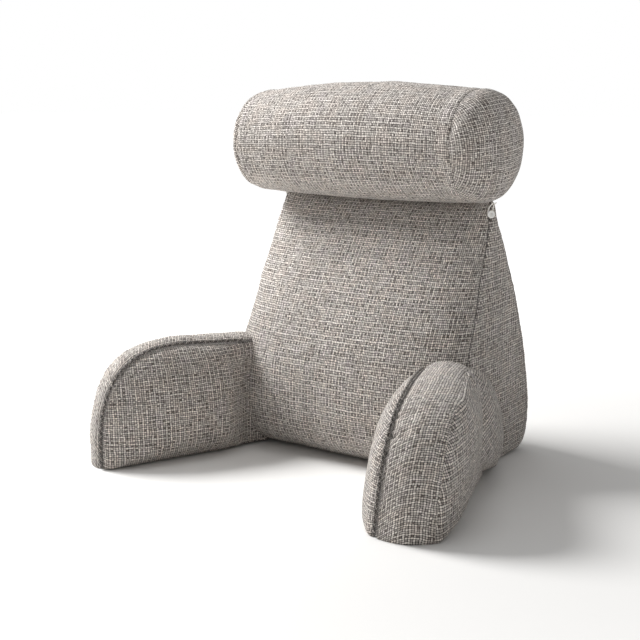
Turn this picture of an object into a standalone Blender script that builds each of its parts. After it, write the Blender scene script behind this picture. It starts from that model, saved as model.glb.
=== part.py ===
"""Reading pillow with arms and a neck roll.

Metres, +Z up, the sitter faces -Y. A stuffed wedge backrest stands on its flat base,
two stuffed arms are sewn to its front corners and splay forwards, a welt is sewn round
each arm's inner edge, and a loose neck roll lies on the top ridge, held at each end by
an elastic loop over a button.
"""

import math

import bmesh
import bpy
from mathutils import Vector

# Whole object
BODY_CENTRE = (0.0104, 0.0126)  # middle of the footprint, as drawn below, moved to the origin
GAP = 0.0003  # clearance between touching pieces
CUT_GAP = 0.0005  # how far the arms are cut back from the backrest

# Backrest: (height, half width, front seam y, front middle y, back seam y, back middle y)
BACKREST_ROWS = (
    (0.000, 0.186, 0.052, 0.052, 0.228, 0.238),
    (0.004, 0.192, 0.040, 0.035, 0.234, 0.248),
    (0.014, 0.197, 0.028, 0.015, 0.238, 0.259),
    (0.035, 0.201, 0.020, -0.003, 0.238, 0.267),
    (0.065, 0.204, 0.021, -0.013, 0.235, 0.269),
    (0.100, 0.206, 0.027, -0.016, 0.229, 0.265),
    (0.135, 0.206, 0.038, -0.013, 0.222, 0.257),
    (0.170, 0.206, 0.052, -0.004, 0.214, 0.247),
    (0.205, 0.204, 0.067, 0.010, 0.206, 0.236),
    (0.240, 0.202, 0.082, 0.027, 0.198, 0.224),
    (0.275, 0.200, 0.096, 0.048, 0.189, 0.211),
    (0.310, 0.198, 0.112, 0.071, 0.179, 0.197),
    (0.340, 0.197, 0.124, 0.092, 0.169, 0.184),
    (0.360, 0.195, 0.132, 0.107, 0.161, 0.175),
    (0.375, 0.192, 0.138, 0.120, 0.156, 0.167),
    (0.385, 0.186, 0.143, 0.131, 0.152, 0.160),
    (0.391, 0.175, 0.147, 0.142, 0.150, 0.154),
)
FRONT_FULLNESS = 3.0  # how square the front panel's crown is, 2 is an ellipse
BACK_FULLNESS = 2.4
PANEL_STEPS = 24  # faces across the front and the back panel
GUSSET_STEPS = 4  # faces across each side gusset
GUSSET_SWELL = 0.003
TOP_DRIFT = -0.006  # the stuffed top leans this far to one side
DRIFT_START = 0.20
DRIFT_HEIGHT = 0.18

# Arms, in a frame whose s runs along the arm from the backrest and o runs outwards
ARM_ROOT = (0.166, 0.003)  # where the inner seam meets the backrest
ARM_SPLAY = math.radians(18.8)
ARM_LENGTH = 0.254
ARM_HEIGHT = 0.168
NOSE_ROUND_S = 3.49  # exponents of the arm's rounded nose
NOSE_ROUND_Z = 3.03
NOSE_RISE = 0.19
NOSE_SPREAD = (1.6, 1.4)  # spaces the outline's points evenly near its two ends
ARM_LEAN = 0.062
LEAN_PACE = 1.4  # the lean is complete this much before the nose
BAND_ROOT_WIDTH = 0.061
BAND_TAPER = {"left": -0.060, "right": 0.067}  # extra band width for each metre along it
BAND_CROWN_TOP = 0.009
BAND_CROWN_NOSE = {"left": 0.004, "right": 0.015}
NOSE_START = 0.12  # how far along the arm its top begins to turn down
HEEL_LENGTH_IN = 0.045  # how far each side of the arm runs back past its root
HEEL_LENGTH_OUT = 0.137
HEEL_ROUND = 2.4
HEEL_PINCH = 0.22  # how much the heel draws in towards the floor
HEEL_PINCH_HEIGHT = 0.05
GUSSET_OFFSET = 0.037  # past the root the outer seam follows the backrest's side
GUSSET_SLOPE = 0.34
GUSSET_START = 0.005
GUSSET_BLEND = 0.045
INNER_CROWN = 0.045
OUTER_CROWN = {"left": 0.042, "right": 0.031}
CROWN_CENTRE = (0.085, 0.062)  # (s, z) of the fullest place
CROWN_POWER = 2.6
CROWN_SHARP = 1.6
ROOT_FULLNESS = 0.25  # how much of the inner crown is left where the arm joins the backrest
ROOT_LENGTH = 0.07
NOSE_STEPS = 16
HEEL_STEPS = 8
FLOOR_STEPS = 12
PANEL_RINGS = (0.35, 0.62, 0.80, 0.91, 0.97)
BAND_STATIONS = (0.0, 0.25, 0.5, 0.75, 1.0)

# Welt round each arm's inner edge
WELT_RADIUS = 0.0028
WELT_STEPS = 44
WELT_START = 0.02  # just clear of the backrest
WELT_END = 0.99
WELT_PROBE = 0.01
WELT_INSET = 0.75  # how much of its radius lies inside the seam

# Neck roll
ROLL_CENTRE = (-0.008, 0.122, 0.4755)
ROLL_RADIUS = 0.080
ROLL_SWELL = 0.009  # how much fatter the roll is at its middle
ROLL_LIFT = 0.004  # how much its middle rises, where the ridge carries it
ROLL_HALF_LENGTH = 0.222
ROLL_SHOULDER = 0.020
ROLL_DOME = 0.014
ROLL_SIDES = 40
SHOULDER_STEPS = 5
DRUM_STEPS = 8
DOME_STEPS = 4

# Buttons and loops
BUTTON_PLACE = {"left": (0.1992, 0.1545, 0.3772), "right": (0.1968, 0.1355, 0.3772)}
BUTTON_FACING = {"left": (0.97, 0.20, 0.13), "right": (0.85, -0.50, 0.15)}
BUTTON_RADIUS = 0.0058
BUTTON_THICKNESS = 0.0034
BUTTON_RIM = 0.0014
RIM_BEVEL = 0.3  # share of the rim left flat between its two bevels
STEM_RADIUS = 0.0014
STEM_LENGTH = 0.0024
CIRCLE_SIDES = 20
LOOP_RADIUS = 0.0009
LOOP_HALF_WIDTH = 0.004  # where it passes round the button's stem
LOOP_EXIT = {"left": (0.207, 0.150), "right": (0.205, 0.131)}  # (x, y) under the neck roll
LOOP_EXIT_HALF_WIDTH = 0.0022
LOOP_EXIT_GAP = 0.0018
LOOP_RISE = 0.012  # how far the strands run straight up from the stem
LOOP_STRAND_STEPS = 7
LOOP_TURN_STEPS = 6

COLOURS = {
    "cloth": (0.36, 0.33, 0.295, 1.0),
    "welt": (0.20, 0.18, 0.155, 1.0),
    "button": (0.86, 0.85, 0.82, 1.0),
    "elastic": (0.78, 0.77, 0.74, 1.0),
}
ROUGHNESS = {"cloth": 0.9, "welt": 0.9, "button": 0.3, "elastic": 0.7}


def clear_scene():
    for obj in list(bpy.data.objects):
        bpy.data.objects.remove(obj, do_unlink=True)


def make_material(name):
    material = bpy.data.materials.new(name)
    material.use_nodes = True
    shader = material.node_tree.nodes["Principled BSDF"]
    shader.inputs["Base Color"].default_value = COLOURS[name]
    shader.inputs["Roughness"].default_value = ROUGHNESS[name]
    shader.inputs["Metallic"].default_value = 0.0
    return material


def add_object(name, data, material, parent):
    data.materials.append(material)
    obj = bpy.data.objects.new(name, data)
    bpy.context.scene.collection.objects.link(obj)
    obj.parent = parent
    return obj


def smoothstep(value):
    value = min(1.0, max(0.0, value))
    return value * value * (3.0 - 2.0 * value)


def loft(name, loops, smooth_angle=40.0):
    """Joins closed loops of equal length with quads, caps both ends and returns the mesh."""
    shape = bmesh.new()
    rings = [[shape.verts.new(point) for point in loop] for loop in loops]
    count = len(rings[0])
    for lower, upper in zip(rings, rings[1:]):
        for i in range(count):
            j = (i + 1) % count
            shape.faces.new((lower[i], lower[j], upper[j], upper[i]))
    shape.faces.new(rings[0][::-1])
    shape.faces.new(rings[-1])
    bmesh.ops.recalc_face_normals(shape, faces=shape.faces)
    bmesh.ops.triangulate(shape, faces=shape.faces)
    mesh = bpy.data.meshes.new(name)
    shape.to_mesh(mesh)
    shape.free()
    mesh.shade_smooth()
    mesh.set_sharp_from_angle(angle=math.radians(smooth_angle))
    return mesh


# ---------------------------------------------------------------- backrest


def superellipse(fraction, fullness):
    return (1.0 - abs(fraction) ** fullness) ** 0.5 if abs(fraction) < 1.0 else 0.0


def backrest_loop(row, grow):
    height, half, front_seam, front_middle, back_seam, back_middle = row
    half += grow
    drift = TOP_DRIFT * smoothstep((height - DRIFT_START) / DRIFT_HEIGHT)
    loop = []
    for i in range(PANEL_STEPS + 1):
        fraction = math.sin(math.pi / 2 * (2 * i / PANEL_STEPS - 1))
        crown = (front_middle - front_seam) * superellipse(fraction, FRONT_FULLNESS)
        loop.append((drift + half * fraction, front_seam + crown - grow, height))
    for i in range(1, GUSSET_STEPS):
        part = i / GUSSET_STEPS
        swell = GUSSET_SWELL * math.sin(math.pi * part)
        y = (front_seam - grow) * (1 - part) + (back_seam + grow) * part
        loop.append((drift + half + swell, y, height))
    for i in range(PANEL_STEPS + 1):
        fraction = math.sin(math.pi / 2 * (1 - 2 * i / PANEL_STEPS))
        crown = (back_middle - back_seam) * superellipse(fraction, BACK_FULLNESS)
        loop.append((drift + half * fraction, back_seam + crown + grow, height))
    for i in range(1, GUSSET_STEPS):
        part = i / GUSSET_STEPS
        swell = GUSSET_SWELL * math.sin(math.pi * part)
        y = (back_seam + grow) * (1 - part) + (front_seam - grow) * part
        loop.append((drift - half - swell, y, height))
    return loop


def backrest_mesh(name, grow=0.0):
    loops = [backrest_loop(row, grow) for row in BACKREST_ROWS]
    if grow:
        last = len(loops) - 1
        loops[0] = [(x, y, -grow) for x, y, z in loops[0]]
        loops[last] = [(x, y, z + grow) for x, y, z in loops[last]]
    return loft(name, loops)


# ---------------------------------------------------------------- arms


def arm_point(side, s, o, z):
    """World place of a point given in the arm's own frame."""
    x = ARM_ROOT[0] + s * math.sin(ARM_SPLAY) + o * math.cos(ARM_SPLAY)
    y = ARM_ROOT[1] - s * math.cos(ARM_SPLAY) + o * math.sin(ARM_SPLAY)
    return (x if side == "right" else -x, y, z)


def nose_outline(turn):
    """(s, z) on the arm's front outline; turn is 0 over the root and 1 on the floor."""
    near = turn ** NOSE_SPREAD[0]
    far = (1 - turn) ** NOSE_SPREAD[1]
    angle = math.pi / 2 * near / (near + far)
    across = math.sin(angle)
    up = math.cos(angle)
    s = ARM_LENGTH * across ** (2 / NOSE_ROUND_S) if across > 0 else 0.0
    z = ARM_HEIGHT * up ** (2 / NOSE_ROUND_Z) if up > 1e-9 else 0.0
    return s, z * (1 + NOSE_RISE * across * up)


def heel_outline(turn, length):
    """(s, z) behind the root; turn is 0 over the root and 1 on the floor."""
    angle = math.pi / 2 * turn
    s = -length * math.sin(angle) ** (2 / HEEL_ROUND) if turn > 0 else 0.0
    z = ARM_HEIGHT * math.cos(angle) ** (2 / HEEL_ROUND) if turn < 1 else 0.0
    low = max(0.0, 1 - z / HEEL_PINCH_HEIGHT)
    return s * (1 - HEEL_PINCH * low**2), z


def arm_outline(length):
    """Closed (s, z) outline: up the nose, over the top, down the heel, along the floor."""
    points = [nose_outline(1 - i / NOSE_STEPS) for i in range(NOSE_STEPS + 1)]
    points += [heel_outline(i / HEEL_STEPS, length) for i in range(1, HEEL_STEPS + 1)]
    heel = points[-1][0]
    for i in range(1, FLOOR_STEPS):
        points.append((heel + (ARM_LENGTH - heel) * i / FLOOR_STEPS, 0.0))
    return points


def inner_edge(s, z):
    return ARM_LEAN * z * smoothstep(s / ARM_LENGTH * LEAN_PACE)


def outer_edge(side, s, z):
    """The outer seam: one band width out, then buried along the side gusset."""
    band = BAND_ROOT_WIDTH + BAND_TAPER[side] * s + inner_edge(s, z)
    gusset = GUSSET_OFFSET - GUSSET_SLOPE * s
    blend = smoothstep((-s - GUSSET_START) / GUSSET_BLEND)
    return band * (1 - blend) + gusset * blend


def crown(s, z, ring, depth):
    root = ROOT_FULLNESS + (1 - ROOT_FULLNESS) * smoothstep(s / ROOT_LENGTH)
    return depth * root * (1 - ring**CROWN_POWER) ** (1 / CROWN_SHARP)


def arm_loops(side):
    inner = arm_outline(HEEL_LENGTH_IN)
    outer = arm_outline(HEEL_LENGTH_OUT)
    centre_s, centre_z = CROWN_CENTRE
    loops = []
    for ring in PANEL_RINGS:
        loop = []
        for s, z in inner:
            s_in = centre_s + (s - centre_s) * ring
            z_in = centre_z + (z - centre_z) * ring
            o = inner_edge(s_in, z_in) - crown(s_in, z_in, ring, INNER_CROWN)
            loop.append(arm_point(side, s_in, o, z_in))
        loops.append(loop)
    for station in BAND_STATIONS:
        loop = []
        for (s_in, z_in), (s_out, z_out) in zip(inner, outer):
            s = s_in * (1 - station) + s_out * station
            z = z_in * (1 - station) + z_out * station
            o = inner_edge(s_in, z_in) * (1 - station) + outer_edge(side, s_out, z_out) * station
            turn = min(1.0, max(0.0, (s - NOSE_START) / (ARM_LENGTH - NOSE_START)))
            swell = math.sin(math.pi * station)
            if s > 0:
                s += BAND_CROWN_NOSE[side] * swell * turn
            if z > 0:
                z += BAND_CROWN_TOP * swell * (1 - turn)
            loop.append(arm_point(side, s, o, z))
        loops.append(loop)
    for ring in PANEL_RINGS[::-1]:
        loop = []
        for s, z in outer:
            s_out = centre_s + (s - centre_s) * ring
            z_out = centre_z + (z - centre_z) * ring
            edge = outer_edge(side, s, z)
            o = edge * ring + outer_edge(side, centre_s, centre_z) * (1 - ring)
            o += OUTER_CROWN[side] * (1 - ring**CROWN_POWER) ** (1 / CROWN_SHARP)
            loop.append(arm_point(side, s_out, o, z_out))
        loops.append(loop)
    return loops


def add_arm(side, material, parent, cutter):
    arm = add_object("arm_" + side, loft("arm_" + side, arm_loops(side)), material, parent)
    cut = arm.modifiers.new("fit to backrest", "BOOLEAN")
    cut.operation = "DIFFERENCE"
    cut.solver = "EXACT"
    cut.object = cutter
    return arm


# ---------------------------------------------------------------- welts, loops


def add_tube(name, points, radius, material, parent):
    curve = bpy.data.curves.new(name, "CURVE")
    curve.dimensions = "3D"
    curve.bevel_depth = radius
    curve.bevel_resolution = 2
    curve.use_fill_caps = True
    spline = curve.splines.new("POLY")
    spline.points.add(len(points) - 1)
    for spot, place in zip(spline.points, points):
        spot.co = (*place, 1.0)
    return add_object(name, curve, material, parent)


def add_welt(side, material, parent):
    """A tube laid against the arm's inner edge, from just off the backrest to the floor."""
    points = []
    clear = WELT_RADIUS + GAP
    for i in range(WELT_STEPS + 1):
        turn = WELT_START + (WELT_END - WELT_START) * i / WELT_STEPS
        s, z = nose_outline(turn)
        before = nose_outline(turn - WELT_PROBE)
        after = nose_outline(min(1.0, turn + WELT_PROBE))
        along = Vector((after[0] - before[0], after[1] - before[1])).normalized()
        out_s, out_z = -along.y, along.x
        o = inner_edge(s, z) - clear * WELT_INSET
        points.append(arm_point(side, s + out_s * clear, o, max(z + out_z * clear, clear)))
    return add_tube("welt_" + side, points, WELT_RADIUS, material, parent)


# ---------------------------------------------------------------- neck roll


def roll_section(along):
    """Radius and rise of the roll's axis at a distance along it from its middle."""
    half_drum = ROLL_HALF_LENGTH - ROLL_SHOULDER
    flat = ROLL_RADIUS - ROLL_SHOULDER
    if abs(along) > half_drum:
        part = min(1.0, (abs(along) - half_drum) / ROLL_SHOULDER)
        return flat + ROLL_SHOULDER * math.sqrt(1 - part**2), 0.0
    full = 1 - (along / half_drum) ** 2
    return ROLL_RADIUS + ROLL_SWELL * full, ROLL_LIFT * full


def add_roll(material, parent):
    """Built along X: a domed end, a round shoulder, the long drum, and the same again."""
    half_drum = ROLL_HALF_LENGTH - ROLL_SHOULDER
    flat = ROLL_RADIUS - ROLL_SHOULDER
    stations = []
    for i in range(DOME_STEPS):
        part = (i + 1) / (DOME_STEPS + 1)
        along = ROLL_HALF_LENGTH + ROLL_DOME * (1 - part**2)
        stations.append((along, flat * part, 0.0))
    for i in range(SHOULDER_STEPS):
        along = half_drum + ROLL_SHOULDER * math.cos(math.pi / 2 * i / SHOULDER_STEPS)
        stations.append((along, *roll_section(along)))
    for i in range(DRUM_STEPS // 2):
        along = half_drum * (1 - 2 * i / DRUM_STEPS)
        stations.append((along, *roll_section(along)))
    other_end = [(-along, radius, rise) for along, radius, rise in stations]
    stations = other_end + [(0.0, *roll_section(0.0))] + stations[::-1]
    loops = []
    for along, radius, rise in stations:
        turns = [2 * math.pi * i / ROLL_SIDES for i in range(ROLL_SIDES)]
        loops.append([(along, radius * math.cos(a), rise + radius * math.sin(a)) for a in turns])
    roll = add_object("neck_roll", loft("neck_roll", loops), material, parent)
    roll.location = ROLL_CENTRE
    return roll


# ---------------------------------------------------------------- buttons, loops


def button_frame(side):
    """Centre of a button, the way it faces, and the two directions across it."""
    sign = 1 if side == "right" else -1
    facing = Vector(BUTTON_FACING[side])
    facing.x *= sign
    facing.normalize()
    across = Vector((0, 0, 1)).cross(facing).normalized()
    upward = facing.cross(across)
    x, y, z = BUTTON_PLACE[side]
    centre = Vector((sign * x + TOP_DRIFT, y, z))
    return centre, facing, across, upward


def add_button(side, material, parent):
    """A turned disc with rounded rims on a short stem, just off the backrest's corner."""
    centre, facing, _, _ = button_frame(side)
    half = BUTTON_THICKNESS / 2
    round_off = BUTTON_RIM * RIM_BEVEL
    profile = (
        (-half - STEM_LENGTH, STEM_RADIUS),
        (-half, STEM_RADIUS),
        (-half, BUTTON_RADIUS - BUTTON_RIM),
        (-half + round_off, BUTTON_RADIUS - round_off),
        (-half + BUTTON_RIM, BUTTON_RADIUS),
        (half - BUTTON_RIM, BUTTON_RADIUS),
        (half - round_off, BUTTON_RADIUS - round_off),
        (half, BUTTON_RADIUS - BUTTON_RIM),
    )
    turns = [2 * math.pi * i / CIRCLE_SIDES for i in range(CIRCLE_SIDES)]
    loops = []
    for along, radius in profile:
        loops.append([(radius * math.cos(a), radius * math.sin(a), along) for a in turns])
    button = add_object("button_" + side, loft("button_" + side, loops), material, parent)
    button.rotation_euler = facing.to_track_quat("Z", "Y").to_euler()
    button.location = centre
    return button


def add_loop(side, material, parent):
    """Two strands down from the neck roll, joined by a turn round the button's stem."""
    sign = 1 if side == "right" else -1
    centre, facing, across, upward = button_frame(side)
    centre -= facing * (BUTTON_THICKNESS / 2 + GAP + LOOP_RADIUS)
    exit_x = sign * LOOP_EXIT[side][0] + TOP_DRIFT
    radius, rise = roll_section(exit_x - ROLL_CENTRE[0])
    depth = LOOP_EXIT[side][1] - ROLL_CENTRE[1]
    exit_z = ROLL_CENTRE[2] + rise - math.sqrt(radius**2 - depth**2) - LOOP_EXIT_GAP
    leave = Vector((exit_x, LOOP_EXIT[side][1], exit_z))
    above = centre + upward * LOOP_RISE
    strand = []
    for i in range(LOOP_STRAND_STEPS):
        part = i / LOOP_STRAND_STEPS
        ease = smoothstep(part)
        middle = leave * (1 - part) ** 2 + above * 2 * part * (1 - part) + centre * part**2
        half_width = LOOP_EXIT_HALF_WIDTH * (1 - ease) + LOOP_HALF_WIDTH * ease
        strand.append((middle, half_width))
    points = [middle + across * half_width for middle, half_width in strand]
    for i in range(LOOP_TURN_STEPS + 1):
        angle = -math.pi * i / LOOP_TURN_STEPS
        spoke = across * math.cos(angle) + upward * math.sin(angle)
        points.append(centre + spoke * LOOP_HALF_WIDTH)
    points += [middle - across * half_width for middle, half_width in strand[::-1]]
    return add_tube("loop_" + side, points, LOOP_RADIUS, material, parent)


def main():
    clear_scene()
    cloth = make_material("cloth")
    welt = make_material("welt")
    button = make_material("button")
    elastic = make_material("elastic")
    root = bpy.data.objects.new("pillow", None)
    bpy.context.scene.collection.objects.link(root)
    root.location = (-BODY_CENTRE[0], -BODY_CENTRE[1], 0.0)

    add_object("backrest", backrest_mesh("backrest"), cloth, root)
    cutter = add_object("backrest_cutter", backrest_mesh("backrest_cutter", CUT_GAP), cloth, root)
    cutter.hide_render = True
    cutter.display_type = "WIRE"
    for side in ("left", "right"):
        add_arm(side, cloth, root, cutter)
        add_welt(side, welt, root)
        add_button(side, button, root)
        add_loop(side, elastic, root)
    add_roll(cloth, root)


main()
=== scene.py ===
import math

import bmesh
import bpy
from mathutils import Matrix, Vector, noise


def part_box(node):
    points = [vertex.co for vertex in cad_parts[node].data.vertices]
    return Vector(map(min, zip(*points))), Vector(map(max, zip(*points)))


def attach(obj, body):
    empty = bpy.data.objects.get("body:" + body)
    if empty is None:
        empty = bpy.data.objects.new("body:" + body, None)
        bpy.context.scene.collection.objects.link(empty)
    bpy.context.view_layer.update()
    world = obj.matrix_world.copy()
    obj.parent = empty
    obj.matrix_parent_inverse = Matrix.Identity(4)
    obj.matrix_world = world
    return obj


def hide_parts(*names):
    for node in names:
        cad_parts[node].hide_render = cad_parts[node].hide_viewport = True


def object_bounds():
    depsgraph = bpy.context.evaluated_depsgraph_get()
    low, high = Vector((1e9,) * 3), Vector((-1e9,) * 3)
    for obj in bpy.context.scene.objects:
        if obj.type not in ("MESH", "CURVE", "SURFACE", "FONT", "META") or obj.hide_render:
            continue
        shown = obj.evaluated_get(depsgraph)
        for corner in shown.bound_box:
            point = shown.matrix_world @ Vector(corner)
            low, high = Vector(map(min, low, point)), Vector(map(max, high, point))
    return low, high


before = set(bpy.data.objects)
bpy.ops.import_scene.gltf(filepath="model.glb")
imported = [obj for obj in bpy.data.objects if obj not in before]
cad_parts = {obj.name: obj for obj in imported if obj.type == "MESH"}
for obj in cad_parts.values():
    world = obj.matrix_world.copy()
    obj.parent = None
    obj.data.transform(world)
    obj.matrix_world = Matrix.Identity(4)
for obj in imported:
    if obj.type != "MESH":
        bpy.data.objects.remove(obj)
cadLow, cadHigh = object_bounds()
print("frame loaded")


# small helpers

def smooth(value):
    value = min(1.0, max(0.0, value))
    return value * value * (3.0 - 2.0 * value)


def lerp(a, b, part):
    return a + (b - a) * part


def bell(value, centre, width):
    return math.exp(-(((value - centre) / width) ** 2))


def linear(hexColour):
    channels = [int(hexColour[i:i + 2], 16) / 255 for i in (1, 3, 5)]
    turned = [c / 12.92 if c <= 0.04045 else ((c + 0.055) / 1.055) ** 2.4 for c in channels]
    return (*turned, 1.0)


# camera, at the eye height of a low product shot

cameraView = {
    "azimuth": 37.48,  # degrees round from the front, towards the sitter's left arm
    "elevation": 10.08,
    "aim": (-0.015, -0.034, -0.063),  # from the middle of the CAD box
    "distance": 1.95,
    "lens": 74.19,
}
around = math.radians(cameraView["azimuth"])
above = math.radians(cameraView["elevation"])
toCamera = Vector((
    math.sin(around) * math.cos(above),
    -math.cos(around) * math.cos(above),
    math.sin(above),
))
middle = (cadLow + cadHigh) / 2
cameraData = bpy.data.cameras.new("camera")
cameraData.lens = cameraView["lens"]
camera = bpy.data.objects.new("camera", cameraData)
bpy.context.scene.collection.objects.link(camera)
camera.location = middle + Vector(cameraView["aim"]) + toCamera * cameraView["distance"]
camera.rotation_mode = "QUATERNION"
camera.rotation_quaternion = (-toCamera).to_track_quat("-Z", "Y")
bpy.context.scene.camera = camera
print("camera placed")


# the shapes below are drawn about the part's own origin, then moved to where the frame has them

backrest = {
    # height, half width, front seam y, front middle y, back seam y, back middle y
    "rows": (
        (0.000, 0.186, 0.052, 0.052, 0.228, 0.238),
        (0.004, 0.192, 0.040, 0.035, 0.234, 0.248),
        (0.014, 0.197, 0.028, 0.015, 0.238, 0.259),
        (0.035, 0.201, 0.020, -0.003, 0.238, 0.267),
        (0.065, 0.204, 0.021, -0.013, 0.235, 0.269),
        (0.100, 0.206, 0.027, -0.016, 0.229, 0.265),
        (0.135, 0.206, 0.038, -0.013, 0.222, 0.257),
        (0.170, 0.206, 0.052, -0.004, 0.214, 0.247),
        (0.205, 0.204, 0.067, 0.010, 0.206, 0.236),
        (0.240, 0.202, 0.082, 0.027, 0.198, 0.224),
        (0.275, 0.200, 0.096, 0.048, 0.189, 0.211),
        (0.310, 0.198, 0.112, 0.071, 0.179, 0.197),
        (0.340, 0.197, 0.124, 0.092, 0.169, 0.184),
        (0.360, 0.195, 0.132, 0.107, 0.161, 0.175),
        (0.375, 0.192, 0.138, 0.120, 0.156, 0.167),
        (0.385, 0.191, 0.143, 0.131, 0.152, 0.160),
        (0.391, 0.187, 0.147, 0.142, 0.150, 0.154),
    ),
    "frontFullness": 2.7,
    "backFullness": 2.4,
    "gussetSwell": 0.003,
    "ear": 0.0048,  # how far the top corners stand up
    "earStart": 0.352,
    "earHeight": 0.039,
    "earSharp": 9,  # more keeps the ears closer to the corners
    "topDrift": -0.006,  # the stuffed top leans this far to one side
    "driftStart": 0.20,  # height where the lean begins
    "driftHeight": 0.18,
    "columns": 104,
    "rowsUp": 112,
    "gussetColumns": 44,
    "gussetTurn": -4,  # degrees the side gussets were cut off the straight grain
}
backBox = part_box("backrest")
shiftX = backBox[1].x - max(row[1] for row in backrest["rows"]) - backrest["gussetSwell"]
shiftY = backBox[1].y - max(row[5] for row in backrest["rows"])


def inFrame(x, y, z):
    return Vector((x + shiftX, y + shiftY, z))


# elastic loops, each a cord from the neck roll round its button and back

roll = {
    "centre": (-0.008, 0.122, 0.4755),
    "radius": 0.080,
    "swell": 0.009,
    "lift": 0.004,
    "halfLength": 0.222,
    "shoulder": 0.020,
    "dome": 0.014,
    "seamAt": {-1: 0.213, 1: 0.183},  # how far along the end pieces are sewn on
    "endRound": 1.8,
    "endSquare": 3.3,
    "endTurn": 84,  # degrees the end pieces' threads are turned
    "columns": 132,
    "around": 150,
    "endRings": 40,
}


def rollSection(along):
    halfDrum = roll["halfLength"] - roll["shoulder"]
    flat = roll["radius"] - roll["shoulder"]
    if abs(along) > halfDrum:
        part = min(1.0, (abs(along) - halfDrum) / roll["shoulder"])
        return flat + roll["shoulder"] * math.sqrt(1 - part ** 2), 0.0
    full = 1 - (along / halfDrum) ** 2
    return roll["radius"] + roll["swell"] * full, roll["lift"] * full


button = {
    "place": {"left": (0.1992, 0.1545, 0.3772), "right": (0.1968, 0.1355, 0.3772)},
    "facing": {"left": (0.97, 0.20, 0.13), "right": (0.85, -0.50, 0.15)},
    "radius": 0.0058,
    "thickness": 0.0034,
    "rim": 0.0012,
    "dish": 0.0007,
    "holeRadius": 0.00075,
    "holeSpread": 0.0014,
    "stemRadius": 0.0014,
    "stemLength": 0.0024,
    "threadRadius": 0.0003,
    "stitchSpread": 0.72,
    "stitchArch": 0.0011,
    "stitchSunk": 0.0007,
    "stitchSteps": 12,
}


def buttonFrame(side):
    sign = 1 if side == "right" else -1
    facing = Vector(button["facing"][side])
    facing.x *= sign
    facing.normalize()
    across = Vector((0, 0, 1)).cross(facing).normalized()
    x, y, z = button["place"][side]
    return inFrame(sign * x + backrest["topDrift"], y, z), facing, across, facing.cross(across)


loop = {
    "radius": 0.0009,
    "halfWidth": 0.004,  # where it passes round the button's stem
    "exit": {"left": (0.207, 0.150), "right": (0.205, 0.131)},
    "exitHalfWidth": 0.0022,
    "exitGap": 0.0018,
    "rise": 0.012,
    "clear": 0.0003,
    "strandSteps": 21,
    "turnSteps": 12,
}


def loopPath(side):
    sign = 1 if side == "right" else -1
    centre, facing, across, upward = buttonFrame(side)
    centre = centre - facing * (button["thickness"] / 2 + loop["clear"] + loop["radius"])
    exitX = sign * loop["exit"][side][0] + backrest["topDrift"]
    radius, rise = rollSection(exitX - roll["centre"][0])
    depth = loop["exit"][side][1] - roll["centre"][1]
    exitZ = roll["centre"][2] + rise - math.sqrt(radius ** 2 - depth ** 2) - loop["exitGap"]
    leave = inFrame(exitX, loop["exit"][side][1], exitZ)
    top = centre + upward * loop["rise"]
    strand = []
    for i in range(loop["strandSteps"]):
        part = i / loop["strandSteps"]
        spot = leave * (1 - part) ** 2 + top * 2 * part * (1 - part) + centre * part ** 2
        strand.append((spot, lerp(loop["exitHalfWidth"], loop["halfWidth"], smooth(part))))
    points = [spot + across * half for spot, half in strand]
    for i in range(loop["turnSteps"] + 1):
        angle = -math.pi * i / loop["turnSteps"]
        spoke = across * math.cos(angle) + upward * math.sin(angle)
        points.append(centre + spoke * loop["halfWidth"])
    return points + [spot - across * half for spot, half in strand[::-1]]


def addCurve(name, points, radius):
    curve = bpy.data.curves.new(name, "CURVE")
    curve.dimensions = "3D"
    curve.bevel_depth = radius
    curve.bevel_resolution = 4
    curve.use_fill_caps = True
    spline = curve.splines.new("POLY")
    spline.points.add(len(points) - 1)
    for spot, place in zip(spline.points, points):
        spot.co = (*place, 1.0)
    spline.use_smooth = True
    made = bpy.data.objects.new(name, curve)
    bpy.context.scene.collection.objects.link(made)
    return made


def lengthOf(points):
    return sum((b - a).length for a, b in zip(points, points[1:]))


loops = {}
for side in ("left", "right"):
    path = loopPath(side)
    loops[side] = addCurve("elasticLoop_" + side, path, loop["radius"])
    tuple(path[0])
    lengthOf(path)
    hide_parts("loop_" + side)
print("elastic loops laid")


# panels, the cut pieces of cloth that are sewn into each stuffed form

def startForm():
    form = bmesh.new()
    form.loops.layers.uv.new("weave")
    form.verts.layers.float.new("seam")
    form.verts.layers.float.new("along")
    return form


def runs(points):
    total = [0.0]
    for a, b in zip(points, points[1:]):
        total.append(total[-1] + (b - a).length)
    return total


stuffing = {
    "flushGap": 0.0018,  # a pressed seam sinks, and takes painted shade, as little as cloth this far from a plain one
    "weltGap": {"left": 0.0035, "right": 0.0024},  # the welt hides this much beside its seam; the groove and the painted shade reach this much further out from it
    "rollSeam": 0.0010,  # the neck roll's end seams sink, and take painted shade, as little as cloth this far from a plain one
    "groove": 0.0014,  # depth of a seam's groove
    "grooveWidth": 0.0026,
    "shoulder": 0.0009,  # the cloth stands proud again beside a seam
    "shoulderAt": 0.011,
    "pucker": 0.0010,
    "puckerLength": 0.011,  # metres between puckers along a seam
    "puckerReach": 0.020,
    "lump": 0.0019,
    "lumpSize": 0.065,
    "ripple": 0.0007,
    "rippleSize": 0.022,
    "merge": 0.0003,  # panels are joined where their edges are closer than this
}


# place(u, v) gives a panel's points, u and v from 0 to 1. seams, flush and deep name its edges:
# L and R are where u ends, B and T where v does. The weave's uv is in metres along the cloth.

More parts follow.
